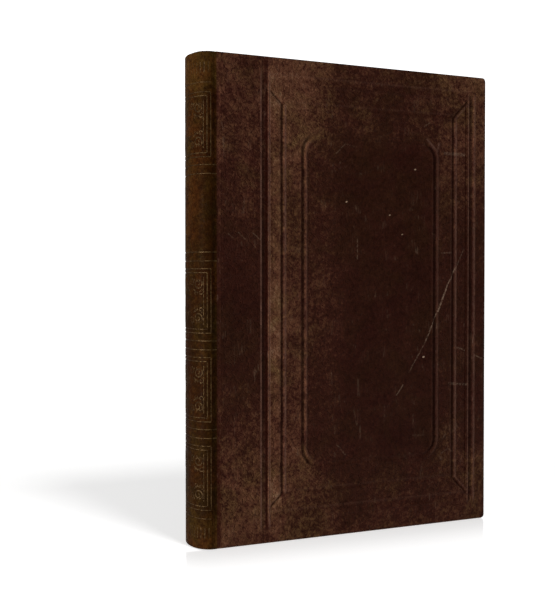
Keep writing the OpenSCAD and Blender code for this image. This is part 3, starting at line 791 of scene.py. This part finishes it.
def tooled_lines():
    """Straight lines of the back's tooling.

    Each has its two ends (s, z), its depth, the width of its gold, and how far short of
    the ends the gold stops.
    """
    for foot in FRAME_FEET:
        for i, gold in enumerate((0.42, 0.42, 0.3)):
            low, high, reach = foot + NEST * i, foot + FRAME_H - NEST * i, FRAME_HALF - NEST * i
            if i < 2:
                for level in (low, high):
                    yield (-reach, level), (reach, level), 0.2, gold, 0.0
            for s in (-reach, reach):
                yield (s, low), (s, high), 0.2, gold, 0.25
    for foot in PAIR_FEET:
        for level in (foot, foot + PAIR):
            yield (-LEATHER_END, level), (LEATHER_END, level), 0.2, 0.46, 0.1
    for level in END_FILLETS:
        yield (-FRAME_HALF, level), (FRAME_HALF, level), 0.12, 0.34, 0.0
    for i in range(-7, 8):
        for foot in (COMB_INSET, COVER_H - COMB_INSET - COMB_H):
            yield (COMB_PITCH * i, foot), (COMB_PITCH * i, foot + COMB_H), 0.14, 0.5, 0.0


def tooling(s, z):
    """Depth of the back's skin at (s, z), and how much it is darkened."""
    depth = np.full(np.broadcast(s, z).shape, BACK_LEVEL)
    half = FILLET_W / 2
    for (s0, z0), (s1, z1), deep, _, _ in tooled_lines():
        across, along, start, end = (z - z0, s, s0, s1) if z0 == z1 else (s - s0, z, z0, z1)
        cut = within(along, start, end, 0.15) * fall(np.abs(across), half * 0.7, half * 1.5)
        depth = np.maximum(depth, BACK_LEVEL + deep * cut)
    depth = depth + 0.035 * waves(s * 1.6, z, 71, 24) + 0.015 * waves(s, z, 72, 7)
    # Crease along the joint, lower still where the joint's own strip lies on it
    near = LEATHER_END + JOINT_GAP - np.abs(s)
    depth = depth + groove(near) + 0.13 * fall(near, 2.0, 2.5)
    # Darker in the crease, between the frames' inner lines, and where it is pressed deep
    in_crease = (0.08 + 0.9 * crease_darkening(z)) * fall(near, 1.8, 2.5) * within(z, 12, 204, 4)
    framed = sum(within(z, foot, foot + FRAME_H, 0.3) for foot in FRAME_FEET)
    between = framed * within(np.abs(s), FRAME_HALF - 2 * NEST + 0.3, FRAME_HALF - 0.2, 0.2)
    pressed = np.clip(depth - BACK_LEVEL - 0.08, 0, 0.2) * (near > 3)
    cavity = in_crease + 0.2 * between + 1.6 * pressed
    return np.clip(depth, 0.02, 0.9), np.clip(cavity, 0, 0.62)


def back_wear(s, z):
    """How tan the leather of the back is worn."""
    out = np.abs(s)
    head, foot = smooth(z, 198, 207), fall(z, 8, 20)
    wear = 0.33 + 0.28 * head + 0.22 * foot + 0.10 * smooth(z, 100, 170) - 0.06 * smooth(out, 11, 15)
    wear = wear + 0.26 * np.exp(-(out / 5) ** 2) * (smooth(z, 110, 150) - 0.3)
    wear = wear + (0.06 + 0.14 * head) * np.exp(-((out - 6) / 3) ** 2)
    wear = wear - 0.1 * within(z, 130, 168, 3) * smooth(out, 4, 7)
    return wear + 0.08 * waves(s * 2, z, 81, 30)


def back_column(s, zs):
    """Depth and height of the back's skin at arc length s, as one closed loop."""
    inlay = LEATHER_T + INLAY_T
    turned = inlay + TURNIN_T

    def nicked(z, seed):
        """How far the worn edge of the leather is nicked."""
        return max(0, 0.10 + 0.10 * waves(np.array([s]), np.array([z]), seed, 9)[0])

    d, _ = tooling(np.full(len(zs), s), zs)
    top, low = nicked(3.0, 77), nicked(9.0, 78)
    head, tail = [], []
    for k, t in enumerate(np.radians((22, 45, 67, 90)), 1):
        a, b, rest = CAP_R * (1 - math.cos(t)), CAP_R * (1 - math.sin(t)), 1 - k / 4
        head.append((d[-1] * rest + a, COVER_H - top * (k / 4) - b))
        tail.append((d[0] * rest + a, low * (k / 4) + b))
    top = COVER_H - top
    inner = [(turned - 0.35, top), (turned - 0.1, top - 0.1), (turned, top - 0.4),
             (turned, COVER_H - BACK_TURNIN), (inlay, COVER_H - BACK_TURNIN),
             (inlay, COVER_H - LEATHER_T), (LEATHER_T, COVER_H - LEATHER_T),
             (LEATHER_T, COVER_H / 2), (LEATHER_T, LEATHER_T), (inlay, LEATHER_T),
             (inlay, BACK_TURNIN), (turned, BACK_TURNIN),
             (turned, low + 0.4), (turned - 0.1, low + 0.1), (turned - 0.35, low)]
    return list(zip(d, zs)) + head + inner + tail[::-1]


def back_skin():
    """Leather of the back as a closed skin, turned in over the card at head and tail."""
    # The mesh is finer this far from each tooled line
    reach, fine = 0.55, 0.14
    lines = [LEATHER_END + way * (FRAME_HALF - NEST * i) for i in range(3) for way in (-1, 1)]
    levels = [f + t for f in FRAME_FEET for t in (0, NEST, FRAME_H - NEST, FRAME_H)]
    levels += [f + t for f in PAIR_FEET for t in (0, PAIR)] + list(END_FILLETS)
    fine_s = [(a - reach, a + reach, fine) for a in lines]
    fine_z = [(a - CAP_R - reach, a - CAP_R + reach, fine) for a in levels]
    ss = stations(2 * LEATHER_END, fine_s, 0.5) - LEATHER_END
    zs = CAP_R + stations(COVER_H - 2 * CAP_R, fine_z, 0.8)
    columns = np.array([back_column(s, zs) for s in ss])
    count = columns.shape[1]
    s_all, z_all = np.repeat(ss, count), columns[:, :, 1].ravel()
    x, y = back_point(s_all, columns[:, :, 0].ravel())
    _, cavity = tooling(s_all, z_all)
    inner = np.tile(np.arange(count) >= len(zs) + 4, len(ss))
    wear = back_wear(s_all, z_all)
    marks = {"wear": wear, "cavity": np.where(inner, 0.1, cavity), "edge": 0 * wear,
             "calm": 0.3 + 0 * wear}
    build("back_skin", np.stack([x, y, z_all], 1), tube(0, len(ss), count), "book_block",
          back_leather, marks, replaces=("spine_leather",))


back_skin()


def ribbon(path, width, verts, faces, rub, raised=0.0):
    """Adds a thin band of gold along a path of (s, z) points, on the tooled skin."""
    path = np.asarray(path, float)
    side = sideways(path) * np.broadcast_to(np.asarray(width, float) / 2, len(path))[:, None]
    mid, _ = tooling(path[:, 0], path[:, 1])
    rows = []
    for way, deeper in ((-1, GOLD_ROOT), (-1, -GOLD_PROUD), (1, -GOLD_PROUD), (1, GOLD_ROOT)):
        p = path + way * side
        x, y = back_point(p[:, 0], np.maximum(mid + deeper - raised, 0.005))
        rows.append(np.stack([x, y, p[:, 1]], 1))
    faces.extend(tube(len(verts), len(path), 4))
    verts.extend(np.stack(rows, 1).reshape(-1, 3).tolist())
    # Gold is rubbed away on the most prominent part of the back
    rub.extend(np.repeat(np.exp(-(path[:, 0] / 6.5) ** 2), 4).tolist())


def gilding():
    """The gold of the back: fillets, frames, combs and scrolled corner pieces."""
    verts, faces, rub = [], [], []
    for (s0, z0), (s1, z1), _, width, short in tooled_lines():
        if z0 == z1:
            s0, s1 = s0 + short, s1 - short
        else:
            z0, z1 = z0 + short, z1 - short
        count = max(2, int(math.hypot(s1 - s0, z1 - z0) / 0.8) + 1)
        ribbon(np.linspace((s0, z0), (s1, z1), count), width, verts, faces, rub)
    # Scrolls in the corners of each frame, mirrored left to right and top to bottom
    taper = np.concatenate([np.linspace(0.25, 0.6, 9), np.linspace(0.6, 0.22, 17)])
    for foot in FRAME_FEET:
        for edge, up in ((foot + 2 * NEST + 0.3, 1), (foot + FRAME_H - 2 * NEST - 0.3, -1)):
            for way in (-1, 1):
                def curl(a, b, r0, r1, start, turns, scale=1.0):
                    """A spiral round (a, b), from radius r0 to r1."""
                    t = np.linspace(0, 1, len(taper))
                    angle, r = start + turns * 2 * math.pi * t, r0 + (r1 - r0) * t
                    p = np.stack([way * (a + r * np.cos(angle)), edge + up * (b + r * np.sin(angle))], 1)
                    ribbon(p, taper * scale, verts, faces, rub, SCROLL_PROUD)

                curl(8.6, 2.9, 2.5, 0.5, -0.6, 1.35)
                curl(4.6, 1.9, 1.6, 0.4, 2.6, -1.2, 0.8)
                curl(10.2, 6.6, 1.3, 0.3, -1.2, 1.1, 0.7)
                curl(1.7, 4.2, 2.0, 0.5, 0.6, 0.55, 0.9)
                for k in range(4):
                    curl(6.2 + 0.9 * k, 5.2 + 0.55 * k, 0.75, 0.1, 0.9 + 0.5 * k, 0.35)
                    curl(5.0 + 1.5 * k, 0.8 + 0.25 * (k % 2), 0.55, 0.1, 2.4 - 0.7 * k, 0.5, 0.8)
                curl(7.2, 7.3, 1.1, 0.3, 0.4, -0.9, 0.7)
            bud = [(0, edge + up * rise) for rise in (0.6, 3.0, 5.6)]
            ribbon(bud, (0.3, 0.9, 0.2), verts, faces, rub, SCROLL_PROUD)
    build("back_gilding", verts, faces, "book_block", gilding_look, {"rub": rub},
          crease=60)


gilding()


# Joints: strips of the cover's and the back's leather outside, with the gold that crosses them, and a
# strip of paper inside.

def crease(x0, x1, raised=0.0):
    """Path of (x, y) points across the crease between back and cover."""
    xs = np.linspace(x0, x1, 9)
    return np.stack([xs, HALF_T - LEVEL - groove(xs - JOINT_X) - 0.07 + raised], 1)


def paper_fold():
    """Path of the paper, folded in the gap between the two leathers, up to the crease."""
    left, right = JOINT_X - JOINT_GAP + 0.035, JOINT_X - 0.035
    top = HALF_T - LEVEL - CREASE_DEPTH - 0.2
    down = np.linspace(LEAF_Y + 0.1, top - 0.03, 6)
    fold = [((left + right) / 2 + (right - left) / 2 * math.sin(t), top + 0.03 * math.cos(t))
            for t in np.linspace(-math.pi / 2, math.pi / 2, 9)]
    return [(left, y) for y in down] + fold + [(right, y) for y in down[::-1]]


def strip_marks(side, x, z, material):
    """Wear and darkening of a strip: of the back if its leather is the back's, or of the cover."""
    ends = 1 - within(z, 14, 203, 5)
    if material is back_leather:
        wear = back_wear(side * (LEATHER_END + JOINT_GAP + x - JOINT_X), z) + 0.1 + 0.32 * ends
        cavity = 0.3 * crease_darkening(z)
    else:
        u, on_back = np.maximum(x - JOINT_X, 0), fall(x, JOINT_X - 0.5, JOINT_X + 0.6)
        wear = rubbed(u, z, 0, FRONT_SEED) + 0.12 * on_back * ends
        cavity = joint_darkening(u, z) + on_back * (0.2 + 0.4 * crease_darkening(z)) * (1 - 0.85 * ends)
    return {"wear": wear, "cavity": np.minimum(cavity, 0.8), "edge": 0 * x, "calm": 0 * x, "rub": 0 * x}


def strip(name, path, thickness, bands, side, body, span, material):
    """Thin sheets along a path of (x, y) points, each from z0 to z1 in some rows.

    The span is not used: the sheets do not bend.
    """
    path = np.asarray(path, float)
    off = sideways(path) * thickness / 2
    loop = np.concatenate([path - off, (path + off)[::-1]])
    verts, faces = [], []
    for z0, z1, rows in bands:
        faces += tube(len(verts), rows, len(loop))
        verts += [(x, side * y, z) for z in np.linspace(z0, z1, rows) for x, y in loop]
    verts = np.array(verts)
    start, end = span
    build(name, verts, faces, ("book_block", body, (start * MM, side * HALF_T * MM, 0.11),
                               (end * MM, side * HALF_T * MM, 0.11)), material,
          strip_marks(side, verts[:, 0], verts[:, 2], material))


for side, body, word in ((-1, "front_cover", "front"), (1, "rear_cover", "rear")):
    bend = (SHOULDER_X + 0.3, JOINT_X + 1.5)
    rows = [(0.6, COVER_H - 0.6, 60)]
    for part, path, slot_name, material in (
            ("leather", crease(JOINT_X, JOINT_X + 2.1), "cover_leather", cover_leather),
            ("back", crease(SHOULDER_X - 0.1, JOINT_X), "back_leather", back_leather)):
        strip(f"{word}_joint_{part}", path, LEATHER_STRIP, rows, side, body, bend, material)
    gold_rows = [(foot + t - 0.23, foot + t + 0.23, 2) for foot in PAIR_FEET for t in (0, PAIR)]
    strip(f"{word}_joint_gilding", crease(SHOULDER_X - 0.1, JOINT_X + 0.05, 0.065), GOLD_STRIP,
          gold_rows, side, body, bend, gilding_look)
    strip(f"{word}_inner_joint", paper_fold(), PAPER_STRIP, [(SQUARE + 0.3, COVER_H - SQUARE - 0.3, 24)],
          side, body, (JOINT_X - JOINT_GAP + 0.035, JOINT_X - 0.035), end_paper)


# The leaves

LEAVES, SECTION = 140, 8
BOX_FACES = ((0, 1, 2, 3), (7, 6, 5, 4), (0, 4, 5, 1), (1, 5, 6, 2), (2, 6, 7, 3), (3, 7, 4, 0))


def page_block():
    """The leaves as thin sheets whose edges stand a little uneven."""
    fore_r = (BLOCK_Y ** 2 + FORE_HOLLOW ** 2) / (2 * FORE_HOLLOW)
    ys = np.linspace(-BLOCK_Y, BLOCK_Y, LEAVES + 1)
    s = np.linspace(-LEATHER_END + 0.4, LEATHER_END - 0.4, 400)
    back_x, back_y = back_point(s, np.full(len(s), BLOCK_D))
    order = np.argsort(back_y)
    back = np.interp(ys, back_y[order], back_x[order])
    r = np.random.default_rng(5)
    verts, faces = [], []
    for i, (y0, y1) in enumerate(zip(ys, ys[1:])):
        y = abs((y0 + y1) / 2)
        fore = BLOCK_FORE_X - FORE_HOLLOW + fore_r * (1 - math.cos(math.asin(min(1, y / fore_r))))
        fold = 0.06 * math.cos(2 * math.pi * i / SECTION)
        x0 = back[i] if y < BLOCK_Y - 0.3 else max(back[i], JOINT_X - 0.4)
        x1 = min(fore - abs(r.normal(0, 0.07)) - 0.02, BLOCK_FORE_X)
        z0 = SQUARE + abs(r.normal(0, 0.05))
        z1 = COVER_H - SQUARE - abs(r.normal(0, 0.06)) + min(fold, 0)
        base = len(verts)
        verts += [(x, y, z) for y in (y0, y1) for x, z in ((x0, z0), (x1, z0), (x1, z1), (x0, z1))]
        faces += [tuple(base + k for k in face) for face in BOX_FACES]
    mesh = bpy.data.meshes.new("page_leaves")
    mesh.from_pydata((np.array(verts) * MM).tolist(), [], faces)
    piece = place("page_leaves", mesh, page_paper)
    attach(piece, "book_block")
    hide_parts("text_block")


page_block()


# Endbands

def endband(name, top, way, replaced):
    """Silk wound round a core, in two colours, and the cloth tab down the back of the leaves."""
    reach = math.asin(BLOCK_Y / (BACK_R - BLOCK_D)) - math.radians(1.0)
    core_r = BACK_R - LINING_D - BAND_D / 2
    tab_r = BACK_R - BLOCK_D
    rows, ring, wraps, steps = 360, 14, 30, 40
    verts, strand = [], []

    def add(q, turn, up, cream):
        verts.append((BACK_X - q * math.cos(turn), -q * math.sin(turn), top + way * up))
        strand.append(1.0 if cream else 0.0)

    for i in range(rows + 1):
        t = i / rows
        phase = (t * wraps) % 1
        r = BAND_D / 2 * (0.84 + 0.13 * abs(math.sin(math.pi * phase)) ** 0.5)
        for k in range(ring):
            a = 2 * math.pi * k / ring
            up = max(r * math.sin(a) + BAND_D / 2, 0.03)
            add(core_r + r * math.cos(a), reach * (2 * t - 1), up, int(t * wraps) % 4 in (0, 1))
    faces = tube(0, rows + 1, ring) + tube(len(verts), steps + 1, 4)
    for i in range(steps + 1):
        for q, up in ((tab_r, -BAND_TAB), (tab_r + 0.3, -BAND_TAB), (tab_r + 0.3, 0.6), (tab_r, 0.6)):
            add(q, reach * (2 * i / steps - 1), up, True)
    build(name, verts, faces, "book_block", band_silk, {"strand": strand}, replaces=(replaced,))


endband("head_band_silk", COVER_H - SQUARE, 1, "head_band")
endband("tail_band_silk", SQUARE, -1, "tail_band")

# Finishes of the CAD pieces that show as they are
for material, nodes in (
        (millboard, ("front_board", "rear_board", "spine_inlay")),
        (end_paper, ("front_pastedown", "rear_pastedown", "front_flyleaf", "rear_flyleaf")),
        (mull, ("front_hinge_cloth", "rear_hinge_cloth", "spine_lining")),
        (cord_hemp, ("sewing_cords",))):
    for node in nodes:
        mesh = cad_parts[node].data
        mesh.materials.clear()
        mesh.materials.append(material)


# Studio, in metres

def flat_plane(name, corners, material):
    mesh = bpy.data.meshes.new(name)
    mesh.from_pydata(corners, [], [(0, 1, 2, 3)])
    place(name, mesh, material)


def sweep_look(name, colour, glow, gloss):
    """White that glows, and mirrors faintly just before the front cover."""
    look = Look(name)
    at = look.new("ShaderNodeSeparateXYZ", Vector=look.point)
    out, beside = at.outputs["Y"], look.maths("ABSOLUTE", at.outputs["X"])
    edge = -HALF_T * MM
    near = look.times(look.span(out, edge - 0.045, edge), look.span(out, edge, edge + 0.004, 1.0, 0.0))
    near = look.times(look.times(near, near), look.span(beside, 0.076, 0.1, 1.0, 0.0))
    # It glows a little more far away, and less where it is polished
    away = look.span(look.vector("LENGTH", look.point), 0.3, 1.0, glow, glow + 0.2)
    glowing = look.maths("SUBTRACT", away, look.times(near, 0.3 * gloss))
    shader = look.new("ShaderNodeBsdfPrincipled", Base_Color=(*colour, 1), Roughness=0.12,
                      Specular_IOR_Level=look.times(near, gloss), Emission_Color=(1, 1, 1, 1),
                      Emission_Strength=glowing)
    look.new("ShaderNodeOutputMaterial", Surface=shader.outputs[0])
    return look.material


FLOOR_Z = -0.0001
flat_plane("floor", [(-1, -1, FLOOR_Z), (1, -1, FLOOR_Z), (1, 1, FLOOR_Z), (-1, 1, FLOOR_Z)],
           sweep_look("floor_white", (0.88, 0.88, 0.88), 0.61, 0.5))
flat_plane("backdrop", [(-5, 4, 0.55), (5, 4, 0.55), (5, 4, 1.7), (-5, 4, 1.7)],
           sweep_look("backdrop_white", (0.1, 0.1, 0.1), 1.1, 0.0))

# The world looks white, but lights the book only a little
world = Look("studio", world=True)
bpy.context.scene.world = world.material
seen = world.new("ShaderNodeLightPath").outputs["Is Camera Ray"]
light = world.new("ShaderNodeBackground", Color=(1, 1, 1, 1),
                  Strength=world.span(seen, 0.0, 1.0, 0.12, 1.05, "LINEAR"))
world.new("ShaderNodeOutputWorld", Surface=light.outputs[0])

AIM = Vector((0.0, 0.0, 0.10))


def lamp(name, way, distance, size, power, colour=(1, 1, 1)):
    """A round lamp that shines on AIM from the direction way."""
    data = bpy.data.lights.new(name, "AREA")
    data.shape, data.size, data.energy, data.color = "DISK", size, power, colour
    made = place(name, data)
    made.location = AIM + Vector(way).normalized() * distance
    made.rotation_euler = (AIM - made.location).to_track_quat("-Z", "Y").to_euler()


lamp("key", (0.1415, -0.6015, 0.786), distance=3.2, size=0.84, power=43.0)
lamp("left", (-0.95, -0.31, -0.02), distance=1.5, size=0.14, power=38.0, colour=(1, 0.97, 0.93))

# The camera's place and turn come from a perspective fit to the photo's outline
EYE_DIP, EYE_TURN = 1.145, -24.364
eye = bpy.data.cameras.new("eye")
eye.lens, eye.sensor_width = 60, 36
camera = place("eye", eye)
camera.location = (-0.2246, -0.42478, 0.11942)
camera.rotation_euler = (math.radians(90 - EYE_DIP), 0, math.radians(EYE_TURN))
bpy.context.scene.camera = camera
bpy.context.scene.view_settings.view_transform = "Standard"
